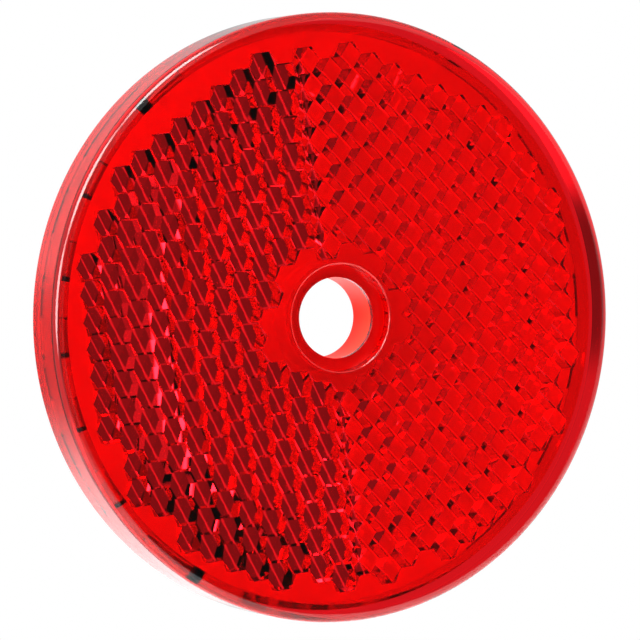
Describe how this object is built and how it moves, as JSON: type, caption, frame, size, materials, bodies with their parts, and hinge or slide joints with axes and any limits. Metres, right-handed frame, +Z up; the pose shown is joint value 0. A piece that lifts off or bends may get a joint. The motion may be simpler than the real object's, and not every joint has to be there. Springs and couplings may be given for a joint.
{
  "type": "centre-mount driveway marker reflector",
  "caption": "Round red prismatic reflector with a central fixing bore, a clear moulded lens in front and a welded back plate with a hub behind.",
  "frame": {"origin": "on the bore's axis, in the plane of the flat back face", "axes": "+Y along the bore's axis, from the clear front to the back face that meets the post; +Z up, along the line between the two halves of the prism field"},
  "size_m": [0.0826, 0.008, 0.0826],
  "materials": {
    "clear_red_acrylic": "polished, transparent",
    "red_plate_plastic": "semi-gloss moulded"
  },
  "bodies": {
    "root": {"reflector_lens": "clear_red_acrylic", "back_plate": "red_plate_plastic"}
  },
  "joints": []
}
